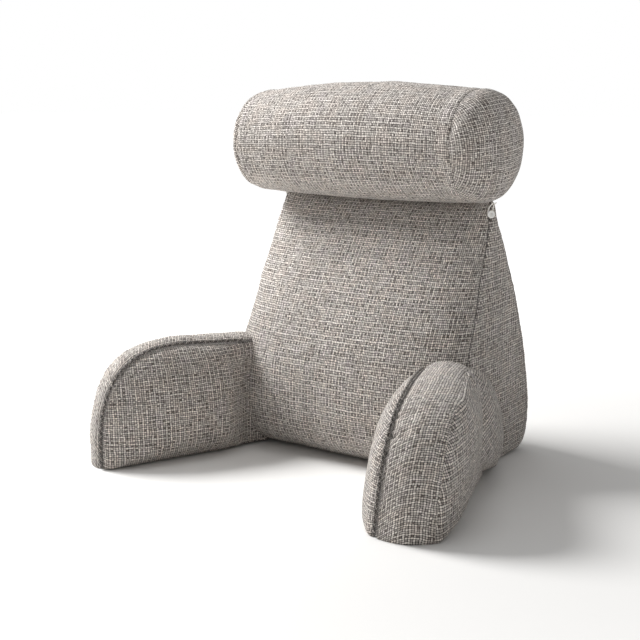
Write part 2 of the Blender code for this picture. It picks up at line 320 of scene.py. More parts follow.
def addPanel(
    form, columns, rows, place, seams="", turn=0.0, origin=(0.0, 0.0), polar=None, flush="",
    deep=("", 0.0), sideGap=0.0, ownLength=False,
):
    made = bmesh.ops.create_grid(form, x_segments=columns, y_segments=rows, size=0.5)["verts"]
    spots = [[place(i / columns, j / rows) for i in range(columns + 1)] for j in range(rows + 1)]
    across = [runs(row) for row in spots]
    up = [runs([row[i] for row in spots]) for i in range(columns + 1)]
    mid = columns // 2
    seamLayer = form.verts.layers.float["seam"]
    alongLayer = form.verts.layers.float["along"]
    weave = form.loops.layers.uv["weave"]
    cosine, sine = math.cos(math.radians(turn)), math.sin(math.radians(turn))
    uvs = {}
    for vert in made:
        i = round((vert.co.x + 0.5) * columns)
        j = round((vert.co.y + 0.5) * rows)
        vert.co = spots[j][i]
        gaps = []
        if "L" in seams:
            gaps.append((across[j][i] + sideGap, up[mid][j]))
        if "R" in seams:
            gaps.append((across[j][-1] - across[j][i] + sideGap, up[mid][j] + 1.0))
        if "B" in seams:
            gaps.append((up[i][j], across[0][i] + 2.0))
        if "T" in seams:
            gaps.append((up[i][-1] - up[i][j], across[-1][i] + 3.0))
        for edge, gap in (("B", up[i][j]), ("T", up[i][-1] - up[i][j])):
            if edge in flush:
                gaps.append((gap + stuffing["flushGap"], across[j][i] + 4.0))
            if edge == deep[0]:
                gaps.append((max(0.0, gap - deep[1]), across[j][i] + 4.0))
        vert[seamLayer], vert[alongLayer] = min(gaps) if gaps else (1.0, 0.0)
        if polar:
            direction = polar(i / columns)
            u, v = direction[0] * up[i][j], direction[1] * up[i][j]
        else:
            u, v = across[j][i] - across[j][mid], up[i if ownLength else mid][j]
        uvs[vert] = (u * cosine - v * sine + origin[0], u * sine + v * cosine + origin[1])
    for vert in made:
        for corner in vert.link_loops:
            corner[weave].uv = uvs[vert]


def stuff(form, seed, puckers=1.0, lumps=1.0, floorAt=None):
    bmesh.ops.remove_doubles(form, verts=form.verts, dist=stuffing["merge"])
    bmesh.ops.dissolve_degenerate(form, edges=form.edges, dist=0.00005)
    bmesh.ops.recalc_face_normals(form, faces=form.faces)
    form.normal_update()
    seamLayer = form.verts.layers.float["seam"]
    alongLayer = form.verts.layers.float["along"]
    offset = Vector((seed * 3.7, seed * 1.3, seed * 5.1))
    moves = []
    for vert in form.verts:
        gap = vert[seamLayer]
        along = vert[alongLayer] / stuffing["puckerLength"]
        push = -stuffing["groove"] * math.exp(-((gap / stuffing["grooveWidth"]) ** 2))
        near = (gap - stuffing["shoulderAt"]) / stuffing["shoulderAt"]
        push += stuffing["shoulder"] * math.exp(-(near ** 2) * 2)
        # sharp ridges between soft troughs, which die away from the seam
        fold = 0.25 - abs(noise.noise(Vector((along * 0.8, gap * 14, seed)))) * 1.6
        fold += 0.4 * noise.noise(Vector((along * 1.7, gap * 20, seed + 9)))
        reach = math.exp(-gap / stuffing["puckerReach"]) * smooth(gap / 0.003)
        push += puckers * stuffing["pucker"] * fold * reach
        spot = vert.co + offset
        push += lumps * stuffing["lump"] * noise.noise(spot / stuffing["lumpSize"])
        push += lumps * stuffing["ripple"] * noise.noise(spot / stuffing["rippleSize"])
        moves.append(vert.normal * push)
    for vert, move in zip(form.verts, moves):
        vert.co += move
        if floorAt is not None:
            vert.co.z = max(vert.co.z, floorAt)


def finishPiece(form, name, material):
    mesh = bpy.data.meshes.new(name)
    form.to_mesh(mesh)
    form.free()
    mesh.shade_smooth()
    mesh.materials.append(material)
    made = bpy.data.objects.new(name, mesh)
    bpy.context.scene.collection.objects.link(made)
    return made


def settle(piece, node):
    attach(piece, "root")
    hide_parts(node)


# materials

def addNode(tree, kind, links=None, **settings):
    # each input is given a value, a socket, or a node, which stands for its first output
    node = tree.nodes.new("ShaderNode" + kind)
    for name, value in settings.items():
        setattr(node, name, value)
    for socket, source in (links or {}).items():
        if isinstance(source, bpy.types.Node):
            source = source.outputs[0]
        if isinstance(source, bpy.types.NodeSocket):
            tree.links.new(source, node.inputs[socket])
        else:
            node.inputs[socket].default_value = source
    return node


def startMaterial(name, roughness, sheen=0.0):
    material = bpy.data.materials.new(name)
    material.use_nodes = True
    tree = material.node_tree
    shader = tree.nodes["Principled BSDF"]
    shader.inputs["Roughness"].default_value = roughness
    shader.inputs["Sheen Weight"].default_value = sheen
    return material, tree, shader


tweed = {
    "warp": 0.0029,  # metres from one upright thread to the next
    "weft": 0.00357,  # the same for the threads that run across
    "wander": 0.0018,  # how far threads stray from straight
    "wanderSize": 0.012,
    "dark": "#1d1a17",  # the shade between the threads
    "brown": "#6f6661",  # the finer brown yarn
    "light": "#fbf2ea",  # the thick oatmeal yarn
    "tone": 0.46,  # 0 is all brown, 1 all oatmeal
    "thread": 0.26,  # how much one thread differs from the next
    "slub": 1.3,  # how much a thread changes along its length
    "slubPace": 0.60,  # changes for each crossing
    "ribs": 0.30,  # how much lighter every second upright thread is
    "bars": 0.18,  # the same for the threads that run across
    "holes": 0.19,  # how dark the painted shade in the gap between four thick threads is
    "holeShare": 0.22,  # the holes' average, taken back out
    "mottle": 0.42,  # how much one crossing differs from the next
    "skips": 0.22,  # share of crossings where a thread skips its turn on top
    "crown": (0.34, 0.80),  # where a round thread's side turns from shade to light
    "tints": (
        (0.34, "#faf8fd"), (0.44, "#f8fcf8"), (0.50, "#ffffff"), (0.57, "#fffcf4"), (0.66, "#fff8f4"),
    ),
    "tintSize": 0.025,
    "tinted": 0.42,
    # painted shade along the seams, as a share of the cloth's own colour
    "seamShade": 0.34,
    "seamFade": (0.0004, 0.0019),  # metres from the seam where its painted shade starts and stops fading
    "relief": 0.0009,
}


def yarnTone(tree, recipe, index, along, seed, contrast, base):
    # each thread has its own tone, every second one is lighter, and slubs come and go along it
    numbered = addNode(tree, "Math", {0: index, 1: seed}, operation="ADD")
    own = addNode(tree, "TexWhiteNoise", {"W": numbered}, noise_dimensions="1D")
    lane = addNode(tree, "Math", {0: index, 1: 7.31}, operation="MULTIPLY")  # unlike its neighbour's
    reach = addNode(tree, "Math", {0: along, 1: recipe["slubPace"]}, operation="MULTIPLY")
    line = addNode(tree, "CombineXYZ", {0: lane, 1: reach, 2: seed})
    slub = addNode(tree, "TexNoise", {"Vector": line, "Scale": 1.0, "Detail": 2.0})
    turn = addNode(tree, "Math", {0: index, 1: 2.0}, operation="MODULO")
    odd = addNode(tree, "Math", {0: turn}, operation="ABSOLUTE")
    level = base + contrast / 2 - recipe["slub"] / 2
    tone = addNode(tree, "Math", {0: odd, 1: -contrast, 2: level}, operation="MULTIPLY_ADD")
    tone = addNode(tree, "Math", {0: own, 1: recipe["thread"], 2: tone}, operation="MULTIPLY_ADD")
    return addNode(tree, "Math", {0: slub, 1: recipe["slub"], 2: tone}, operation="MULTIPLY_ADD")


# shade scales the whole colour down, for a copy with painted shade
def weaveMaterial(name, recipe, shade=1.0):
    # thick slub yarn in a plain weave, which gives a light grid with dots of painted shade between
    material, tree, shader = startMaterial(name, 0.92, 0.15)

    # the cell of the weave, its column and row, and the place inside it
    weave = addNode(tree, "UVMap", uv_map="weave")
    wander = addNode(tree, "TexNoise", {
        "Vector": weave, "Scale": 1 / recipe["wanderSize"], "Detail": 2.0,
    })
    centred = addNode(tree, "VectorMath", {
        0: wander.outputs["Color"], 1: (0.5, 0.5, 0.5),
    }, operation="SUBTRACT")
    strayed = addNode(tree, "VectorMath", {
        0: centred, 1: (recipe["wander"] * 2,) * 3, 2: weave,
    }, operation="MULTIPLY_ADD")
    cells = addNode(tree, "VectorMath", {
        0: strayed, 1: (1 / recipe["warp"], 1 / recipe["weft"], 1.0),
    }, operation="MULTIPLY")
    x, y = addNode(tree, "SeparateXYZ", {0: cells}).outputs[:2]
    column = addNode(tree, "Math", {0: x}, operation="FLOOR")
    row = addNode(tree, "Math", {0: y}, operation="FLOOR")
    acrossWarp = addNode(tree, "Math", {0: x}, operation="FRACT")
    acrossWeft = addNode(tree, "Math", {0: y}, operation="FRACT")

    # which thread is on top, and its tone
    ribs = recipe["ribs"]
    base = recipe["tone"] + recipe["holes"] * recipe["holeShare"] - recipe["mottle"] / 2
    warp = yarnTone(tree, recipe, column, y, 11.0, ribs, base)
    weft = yarnTone(tree, recipe, row, x, 43.0, recipe["bars"], base + ribs * 0.25)
    columnTurn = addNode(tree, "Math", {0: column, 1: 2.0}, operation="MODULO")
    rib = addNode(tree, "Math", {0: columnTurn}, operation="ABSOLUTE")
    rowTurn = addNode(tree, "Math", {0: row, 1: 2.0}, operation="MODULO")
    bar = addNode(tree, "Math", {0: rowTurn}, operation="ABSOLUTE")
    weft = addNode(tree, "Math", {0: rib, 1: -ribs * 0.45, 2: weft}, operation="MULTIPLY_ADD")
    cell = addNode(tree, "CombineXYZ", {0: column, 1: row, 2: 0.0})
    chance = addNode(tree, "TexWhiteNoise", {"Vector": cell}, noise_dimensions="3D")
    diagonal = addNode(tree, "Math", {0: column, 1: row}, operation="ADD")
    diagonalTurn = addNode(tree, "Math", {0: diagonal, 1: 2.0}, operation="MODULO")
    check = addNode(tree, "Math", {0: diagonalTurn}, operation="ABSOLUTE")
    skip = addNode(tree, "Math", {0: chance, 1: 1 - recipe["skips"]}, operation="GREATER_THAN")
    swapped = addNode(tree, "Math", {0: check, 1: skip}, operation="SUBTRACT")
    over = addNode(tree, "Math", {0: swapped}, operation="ABSOLUTE")
    tone = addNode(tree, "Mix", {0: over, 2: warp, 3: weft}, data_type="FLOAT")
    hole = addNode(tree, "Math", {0: rib, 1: bar}, operation="MULTIPLY")
    depth = addNode(tree, "Math", {0: chance, 1: 2.0, 2: -0.1}, operation="MULTIPLY_ADD")
    hole = addNode(tree, "Math", {0: hole, 1: depth}, operation="MULTIPLY")
    tone = addNode(tree, "Math", {0: hole, 1: -recipe["holes"], 2: tone}, operation="MULTIPLY_ADD")
    patch = addNode(tree, "SeparateXYZ", {0: chance.outputs["Color"]}).outputs[1]
    tone = addNode(tree, "Math", {0: patch, 1: recipe["mottle"], 2: tone}, operation="MULTIPLY_ADD")

    # the thread's round section, wide across itself and rounded off where it dips under
    halfWarp = addNode(tree, "Math", {0: acrossWarp, 1: math.pi}, operation="MULTIPLY")
    halfWeft = addNode(tree, "Math", {0: acrossWeft, 1: math.pi}, operation="MULTIPLY")
    bellX = addNode(tree, "Math", {0: halfWarp}, operation="SINE")
    bellY = addNode(tree, "Math", {0: halfWeft}, operation="SINE")
    wideX = addNode(tree, "Math", {0: bellX, 1: 0.55}, operation="POWER")
    wideY = addNode(tree, "Math", {0: bellY, 1: 0.55}, operation="POWER")
    dipX = addNode(tree, "Math", {0: bellX, 1: 0.25}, operation="POWER")
    dipY = addNode(tree, "Math", {0: bellY, 1: 0.25}, operation="POWER")
    crownWarp = addNode(tree, "Math", {0: wideX, 1: dipY}, operation="MULTIPLY")
    crownWeft = addNode(tree, "Math", {0: wideY, 1: dipX}, operation="MULTIPLY")
    crown = addNode(tree, "Mix", {0: over, 2: crownWarp, 3: crownWeft}, data_type="FLOAT")
    shadeEnds, lightStarts = recipe["crown"]
    body = addNode(tree, "MapRange", {0: crown, 1: shadeEnds, 2: lightStarts, 3: 0.0, 4: 1.0})

    # colour
    toned = addNode(tree, "Mix", {
        0: tone, 6: linear(recipe["brown"]), 7: linear(recipe["light"]),
    }, data_type="RGBA")
    tint = addNode(tree, "TexNoise", {"Vector": weave, "Scale": 1 / recipe["tintSize"], "Detail": 1.0})
    hue = addNode(tree, "ValToRGB", {0: tint})
    first, *between, last = recipe["tints"]
    for element, (place, tintHex) in zip(hue.color_ramp.elements, (first, last)):
        element.position = place
        element.color = linear(tintHex)
    for place, tintHex in between:
        hue.color_ramp.elements.new(place).color = linear(tintHex)
    tinted = addNode(tree, "Mix", {
        0: recipe["tinted"], 6: toned.outputs[2], 7: hue,
    }, data_type="RGBA", blend_type="MULTIPLY")
    # painted shade on the threads' round sides, where they dip under, and in the gaps between them
    shaded = addNode(tree, "Mix", {
        0: body, 6: linear(recipe["dark"]), 7: tinted.outputs[2],
    }, data_type="RGBA")
    # painted shade: the colour darkens along the seams and in the welts' hollows, by the seam attribute
    seam = addNode(tree, "Attribute", attribute_name="seam").outputs["Fac"]
    fadeStart, fadeEnd = recipe["seamFade"]
    fade = addNode(tree, "MapRange", {
        0: seam, 1: fadeStart, 2: fadeEnd, 3: recipe["seamShade"] * shade, 4: shade,
    })
    colour = addNode(tree, "VectorMath", {0: shaded.outputs[2], "Scale": fade}, operation="SCALE")
    tree.links.new(colour.outputs[0], shader.inputs["Base Color"])

    # relief, with loose fibres on the threads
    fibre = addNode(tree, "TexNoise", {"Vector": cells, "Scale": 3.2, "Detail": 3.0})
    height = addNode(tree, "Math", {0: fibre, 1: 0.35, 2: crown}, operation="MULTIPLY_ADD")
    bump = addNode(tree, "Bump", {"Height": height, "Distance": recipe["relief"], "Strength": 0.9})
    tree.links.new(bump.outputs[0], shader.inputs["Normal"])
    return material


cloth = weaveMaterial("slub tweed, woven", tweed)
print("materials made")


# backrest

def rowAt(height):
    rows = backrest["rows"]
    last = len(rows) - 1
    i = max(k for k in range(last) if height >= rows[k][0] - 1e-9)
    low, high = rows[i], rows[i + 1]
    before, after = rows[max(0, i - 1)], rows[min(last, i + 2)]
    span = high[0] - low[0]
    part = (height - low[0]) / span
    values = []
    for k in range(1, 6):
        startSlope = (high[k] - before[k]) / (high[0] - before[0]) * span
        endSlope = (after[k] - low[k]) / (after[0] - low[0]) * span
        values.append(
            low[k] * (2 * part ** 3 - 3 * part ** 2 + 1)
            + startSlope * (part ** 3 - 2 * part ** 2 + part)
            + high[k] * (3 * part ** 2 - 2 * part ** 3)
            + endSlope * (part ** 3 - part ** 2)
        )
    return values


def evenOut(t):
    return 0.5 * math.sin(math.pi / 2 * t) + 0.5 * t  # closer together at both ends


def heightAt(v):
    return backrest["rows"][-1][0] * (0.5 + 0.5 * evenOut(2 * v - 1))


def drift(height):
    return backrest["topDrift"] * smooth((height - backrest["driftStart"]) / backrest["driftHeight"])


def earAt(height, fraction):
    risen = smooth((height - backrest["earStart"]) / backrest["earHeight"])
    return backrest["ear"] * risen * abs(fraction) ** backrest["earSharp"]


def frontOrBack(u, height, seamPlace, middlePlace, fullness):
    values = rowAt(height)
    fraction = evenOut(2 * u - 1)
    full = math.sqrt(max(0.0, 1 - abs(fraction) ** fullness))
    y = lerp(values[seamPlace], values[middlePlace], full)
    return inFrame(drift(height) + values[0] * fraction, y, height + earAt(height, fraction))


def frontPlace(u, v):
    return frontOrBack(u, heightAt(v), 1, 2, backrest["frontFullness"])


def backPlace(u, v):
    return frontOrBack(1 - u, heightAt(v), 3, 4, backrest["backFullness"])


def gussetPlace(sign):
    def place(u, v):
        height = heightAt(v)
        values = rowAt(height)
        swell = backrest["gussetSwell"] * math.sin(math.pi * u)
        y = lerp(values[1], values[3], u)
        return inFrame(drift(height) + sign * (values[0] + swell), y, height + earAt(height, 1.0))
    return place


def capPlace(v):
    def place(u, w):
        front, back = frontPlace(u, v), backPlace(1 - u, v)
        spot = front.lerp(back, w)
        swell = backrest["gussetSwell"] * math.sin(math.pi * w) * abs(2 * u - 1) ** 8
        spot.x += swell if u > 0.5 else -swell
        return spot
    return place


form = startForm()
columns, rowsUp, gussetColumns = backrest["columns"], backrest["rowsUp"], backrest["gussetColumns"]
grain = backrest["gussetTurn"]
addPanel(form, columns, rowsUp, frontPlace, seams="LRB")
addPanel(form, columns, rowsUp, backPlace, seams="LRB", origin=(1.0, 0.0))
addPanel(form, gussetColumns, rowsUp, gussetPlace(1), seams="LRB", turn=grain, origin=(2.0, 0.0))
addPanel(form, gussetColumns, rowsUp, gussetPlace(-1), seams="LRB", turn=grain, origin=(3.0, 0.0))
addPanel(form, columns, gussetColumns, capPlace(0.0), seams="LRBT", origin=(4.0, 0.0))
addPanel(form, columns, gussetColumns, capPlace(1.0), origin=(5.0, 0.0))
stuff(form, 1, floorAt=0.0)
backrestPiece = finishPiece(form, "backrest_stuffed", cloth)
settle(backrestPiece, "backrest")
print("backrest stuffed")


# arms

arm = {
    "root": (0.166, 0.003),
    "splay": 18.8,  # degrees
    "length": 0.254,
    "height": 0.168,
    "noseSpread": (1.6, 1.4),  # more steps where the nose bends most
    "noseRoundS": 3.49,  # 2 is an ellipse, more is squarer
    "noseRoundZ": 3.03,
    "noseRise": 0.19,
    "lean": {"left": 0.062, "right": 0.084},  # how far the inner seam leans out as it rises
    "leanPace": 1.4,
    "bandWidth": 0.061,
    "bandTaper": {"left": -0.085, "right": 0.067},
    "bandCrownTop": 0.009,
    "bandCrownNose": {"left": 0.004, "right": 0.015},
    "noseStart": 0.12,
    # past the root the outer seam runs in along the backrest's side
    "gussetOffset": 0.037,
    "gussetSlope": -0.34,
    "gussetStart": 0.005,
    "gussetBlend": 0.045,
    "heelIn": 0.045,
    "heelOut": 0.137,
    "heelRound": 2.4,
    "heelPinch": 0.22,
    "heelPinchHeight": 0.05,
    "innerCrown": 0.045,
    "outerCrown": {"left": 0.042, "right": 0.031},
    "crownCentre": (0.085, 0.062),
    "crownPower": 2.6,
    "crownSharp": 1.6,
    "rootFullness": 0.25,  # the inner panel is flatter towards the backrest
    "rootLength": 0.07,
    # each crease: panel, (along, across) where it starts, the same where it ends, depth, width
    "creases": {
        "left": (
            ("band", (0.400, 1.0), (0.395, 0.45), 0.0010, 0.0028),
        ),
        "right": (
            ("band", (0.228, 0.0), (0.222, 0.42), 0.0026, 0.0024),
            ("band", (0.190, 0.0), (0.186, 0.36), 0.0030, 0.0024),
            ("band", (0.159, 0.0), (0.157, 0.30), 0.0024, 0.0024),
            ("band", (0.262, 0.0), (0.258, 0.25), 0.0016, 0.0022),
            ("outer", (0.430, 0.99), (0.455, 0.66), 0.0024, 0.0034),
            ("outer", (0.385, 0.99), (0.405, 0.74), 0.0018, 0.0030),
            ("outer", (0.330, 0.99), (0.345, 0.84), 0.0012, 0.0026),
        ),
    },
    "creaseSteps": 8,
    "creaseLip": 0.45,  # the cloth swells beside a crease, as part of its depth
    "creaseLipAt": 2.3,  # crease widths away
    "noseSteps": 150,
    "heelSteps": 67,
    "floorSteps": 99,
    "rings": 34,
    "bandRows": 22,
}


def armPoint(side, s, o, z):
    splay = math.radians(arm["splay"])
    x = arm["root"][0] + s * math.sin(splay) + o * math.cos(splay)
    y = arm["root"][1] - s * math.cos(splay) + o * math.sin(splay)
    return inFrame(x if side == "right" else -x, y, z)


def noseOutline(turn):
    spread = arm["noseSpread"]
    near, far = turn ** spread[0], (1 - turn) ** spread[1]
    angle = math.pi / 2 * near / (near + far)
    across, up = math.sin(angle), max(0.0, math.cos(angle))
    s = arm["length"] * across ** (2 / arm["noseRoundS"])
    z = arm["height"] * up ** (2 / arm["noseRoundZ"])
    return s, z * (1 + arm["noseRise"] * across * up)


def heelOutline(turn, length):
    angle = math.pi / 2 * turn
    s = -length * math.sin(angle) ** (2 / arm["heelRound"])
    z = arm["height"] * max(0.0, math.cos(angle)) ** (2 / arm["heelRound"])
    low = max(0.0, 1 - z / arm["heelPinchHeight"])
    return s * (1 - arm["heelPinch"] * low ** 2), z


def outlineAt(u, length):
    noseSteps, heelSteps, floorSteps = arm["noseSteps"], arm["heelSteps"], arm["floorSteps"]
    step = u * (noseSteps + heelSteps + floorSteps)
    if step <= noseSteps:
        return noseOutline(max(0.0, 1 - step / noseSteps))
    if step <= noseSteps + heelSteps:
        return heelOutline((step - noseSteps) / heelSteps, length)
    heel = heelOutline(1.0, length)[0]
    return lerp(heel, arm["length"], (step - noseSteps - heelSteps) / floorSteps), 0.0


def innerEdge(side, s, z):
    return arm["lean"][side] * z * smooth(s / arm["length"] * arm["leanPace"])


def outerEdge(side, s, z):
    band = arm["bandWidth"] + arm["bandTaper"][side] * s + innerEdge(side, s, z)
    gusset = arm["gussetOffset"] + arm["gussetSlope"] * s
    return lerp(band, gusset, smooth((-s - arm["gussetStart"]) / arm["gussetBlend"]))


def armCrown(ring, depth):
    return depth * (1 - ring ** arm["crownPower"]) ** (1 / arm["crownSharp"])


def innerPlace(side):
    def place(u, v):
        ring = evenOut(v)
        s, z = outlineAt(u, arm["heelIn"])
        s = lerp(arm["crownCentre"][0], s, ring)
        z = lerp(arm["crownCentre"][1], z, ring)
        fade = lerp(arm["rootFullness"], 1.0, smooth(s / arm["rootLength"]))
        return armPoint(side, s, innerEdge(side, s, z) - armCrown(ring, arm["innerCrown"]) * fade, z)
    return place


def bandPlace(side):
    def place(u, v):
        sIn, zIn = outlineAt(u, arm["heelIn"])
        sOut, zOut = outlineAt(u, arm["heelOut"])
        s, z = lerp(sIn, sOut, v), lerp(zIn, zOut, v)
        o = lerp(innerEdge(side, sIn, zIn), outerEdge(side, sOut, zOut), v)
        turn = min(1.0, max(0.0, (s - arm["noseStart"]) / (arm["length"] - arm["noseStart"])))
        swell = math.sin(math.pi * v)
        if s > 0:
            s += arm["bandCrownNose"][side] * swell * turn
        if z > 0:
            z += arm["bandCrownTop"] * swell * (1 - turn)
        return armPoint(side, s, o, z)
    return place


def outerPlace(side):
    def place(u, v):
        ring = evenOut(v)
        s, z = outlineAt(u, arm["heelOut"])
        centreS, centreZ = arm["crownCentre"]
        o = lerp(outerEdge(side, centreS, centreZ), outerEdge(side, s, z), ring)
        o += armCrown(ring, arm["outerCrown"][side])
        return armPoint(side, lerp(centreS, s, ring), o, lerp(centreZ, z, ring))
    return place


def armGrain(length):
    def direction(u):
        s, z = outlineAt(u, length)
        away = Vector((s - arm["crownCentre"][0], z - arm["crownCentre"][1]))
        return away.normalized()
    return direction


def addCreases(form, side):
    panels = {"band": bandPlace(side), "outer": outerPlace(side)}
    form.normal_update()
    moves = {}
    for panel, start, end, depth, width in arm["creases"][side]:
        line = []
        for i in range(arm["creaseSteps"] + 1):
            part = i / arm["creaseSteps"]
            u, v = lerp(start[0], end[0], part), lerp(start[1], end[1], part)
            line.append((part, panels[panel](u, v)))
        for vert in form.verts:
            gaps = ((part, (vert.co - spot).length) for part, spot in line)
            part, gap = min(gaps, key=lambda pair: pair[1])
            if gap < width * 5:
                lip = arm["creaseLip"] * bell(gap, arm["creaseLipAt"] * width, width)
                push = depth * (1 - part ** 2) * (lip - bell(gap, 0.0, width))
                moves[vert] = moves.get(vert, 0.0) + push
    for vert, move in moves.items():
        vert.co += vert.normal * move


for number, side in enumerate(("left", "right")):
    form = startForm()
    steps = arm["noseSteps"] + arm["heelSteps"] + arm["floorSteps"]
    sunk = stuffing["weltGap"][side]
    addPanel(
        form, steps, arm["rings"], innerPlace(side), turn=90, origin=(0.0, 0.5),
        polar=armGrain(arm["heelIn"]), deep=("T", sunk),
    )
    addPanel(
        form, steps, arm["bandRows"], bandPlace(side), origin=(1.0, 0.5), flush="T",
        deep=("B", sunk), ownLength=True,
    )
    addPanel(
        form, steps, arm["rings"], outerPlace(side), turn=8, origin=(2.0, 0.5),
        polar=armGrain(arm["heelOut"]), flush="T",
    )
    stuff(form, 5 + number, puckers=1.6, lumps=0.9, floorAt=0.0)
    addCreases(form, side)
    piece = finishPiece(form, "arm_" + side + "_stuffed", cloth)
    settle(piece, "arm_" + side)
print("arms stuffed")


# neck roll

def tubePlace(u, v):
    part = 0.5 + 0.5 * evenOut(2 * u - 1)
    along = lerp(-roll["seamAt"][-1], roll["seamAt"][1], part)
    radius, rise = rollSection(along)
    angle = 2 * math.pi * v
    x, y, z = roll["centre"]
    return inFrame(x + along, y + radius * math.sin(angle), z + rise - radius * math.cos(angle))


def rollEndPlace(sign):
    seamRadius, seamRise = rollSection(roll["seamAt"][sign])
    bulge = roll["halfLength"] + roll["dome"] - roll["seamAt"][sign]

    def place(u, v):
        turned = math.pi / 2 * v
        out = math.sin(turned) ** (2 / roll["endRound"])
        along = roll["seamAt"][sign] + bulge * max(0.0, math.cos(turned)) ** (2 / roll["endSquare"])
        angle = 2 * math.pi * u
        x, y, z = roll["centre"]
        radius = seamRadius * out
        height = z + seamRise * out - radius * math.cos(angle)
        return inFrame(x + sign * along, y + radius * math.sin(angle), height)
    return place


def roundGrain(u):
    angle = 2 * math.pi * u
    return math.sin(angle), -math.cos(angle)


form = startForm()
addPanel(
    form, roll["columns"], roll["around"], tubePlace, seams="LR", origin=(0.0, 1.0),
    sideGap=stuffing["rollSeam"],
)
for number, sign in enumerate((1, -1)):
    addPanel(
        form, roll["around"], roll["endRings"], rollEndPlace(sign), turn=roll["endTurn"],
        origin=(1.0 + number, 1.5), polar=roundGrain, flush="T",
    )
stuff(form, 9, puckers=1.1)
rollPiece = finishPiece(form, "neckRoll_stuffed", cloth)
settle(rollPiece, "neck_roll")
print("neck roll stuffed")


# welts, a bias strip wrapped round a twisted cord

welt = {
    "radius": {"left": 0.0024, "right": 0.0017},
    "clear": 0.0003,
    "start": 0.02,  # along the nose, from the backrest to the floor
    "end": 0.99,
    "sink": 0.75,
    "probe": 0.01,
    "ending": 0.004,  # metres over which it closes at its ends
    "tip": 0.05,
    "steps": 260,
    "around": 14,
    "twist": 0.011,  # metres for one turn of the cord inside
    "twistDepth": 0.00045,
    "paler": 1.9,  # less makes the painted shade in the hollows between the cord's turns darker and wider
}
biasStrip = {**tweed, "warp": 0.0025, "weft": 0.0027, "wander": 0.0008}
# the welt's copy of the tweed is painted darker, at 0.84 of its colour: painted shade along the welt
shadedWeltCloth = weaveMaterial("slub tweed, bias strip", biasStrip, 0.84)


def weltPath(side):
    clear = welt["radius"][side] + welt["clear"]
    points = []
    for i in range(welt["steps"] + 1):
        turn = lerp(welt["start"], welt["end"], i / welt["steps"])
        s, z = noseOutline(turn)
        before = noseOutline(turn - welt["probe"])
        after = noseOutline(min(1.0, turn + welt["probe"]))
        going = Vector((after[0] - before[0], after[1] - before[1])).normalized()
        o = innerEdge(side, s, z) - clear * welt["sink"]
        points.append(armPoint(side, s - going.y * clear, o, max(z + going.x * clear, clear)))
    return points


def addTube(name, path, around, radiusAt, turn, material, hollow=None):
    form = startForm()
    depths = {}
    travelled = runs(path)
    lastStep = len(path) - 1
    sideways = Vector((0, 0, 1)).cross(path[1] - path[0]).normalized()
    frames = []
    for i in range(lastStep + 1):
        going = (path[min(lastStep, i + 1)] - path[max(0, i - 1)]).normalized()
        sideways = (sideways - going * sideways.dot(going)).normalized()
        frames.append((sideways.copy(), going.cross(sideways)))

    def place(u, v):
        i = round(v * lastStep)
        angle = 2 * math.pi * u
        out = frames[i][0] * math.cos(angle) + frames[i][1] * math.sin(angle)
        radius = radiusAt(angle, travelled[i], travelled[-1])
        spot = path[i] + out * radius
        depths[tuple(spot)] = radius
        return spot

    addPanel(form, around, lastStep, place, turn=turn)
    if hollow:  # where the tube is thinner than elsewhere it takes a seam's painted shade
        thinnest, paler = hollow
        seamLayer = form.verts.layers.float["seam"]
        for vert in form.verts:
            vert[seamLayer] = paler * (depths[tuple(vert.co)] - thinnest)
    bmesh.ops.remove_doubles(form, verts=form.verts, dist=0.00005)
    ends = [edge for edge in form.edges if edge.is_boundary]
    if ends:
        bmesh.ops.holes_fill(form, edges=ends, sides=0)
    bmesh.ops.recalc_face_normals(form, faces=form.faces)
    return finishPiece(form, name, material)


def weltRadius(side):
    def radiusAt(angle, travelled, whole):
        lobe = math.cos(2 * angle + 2 * math.pi * travelled / welt["twist"])
        opened, closed = travelled / welt["ending"], (whole - travelled) / welt["ending"]
        ending = math.sqrt(smooth(opened) * smooth(closed))
        return (welt["radius"][side] + welt["twistDepth"] * lobe) * max(welt["tip"], ending)
    return radiusAt


for side in ("left", "right"):
    hollow = (welt["radius"][side] - welt["twistDepth"], welt["paler"])
    piece = addTube(
        "welt_" + side + "_piped", weltPath(side), welt["around"], weltRadius(side), 45, shadedWeltCloth, hollow,
    )
    settle(piece, "welt_" + side)
print("welts piped")


# buttons

pearl, _, pearlShader = startMaterial("polyester resin, turned", 0.22)
# a cast and turned shirt button, milky with a soft gloss
pearlShader.inputs["Base Color"].default_value = linear("#fbfaf6")
pearlShader.inputs["Subsurface Weight"].default_value = 0.15
pearlShader.inputs["Subsurface Radius"].default_value = (0.002, 0.002, 0.0015)

thread, _, threadShader = startMaterial("polyester thread, twisted", 0.7)
# fine spun thread, dull white
threadShader.inputs["Base Color"].default_value = linear("#d9d5cc")


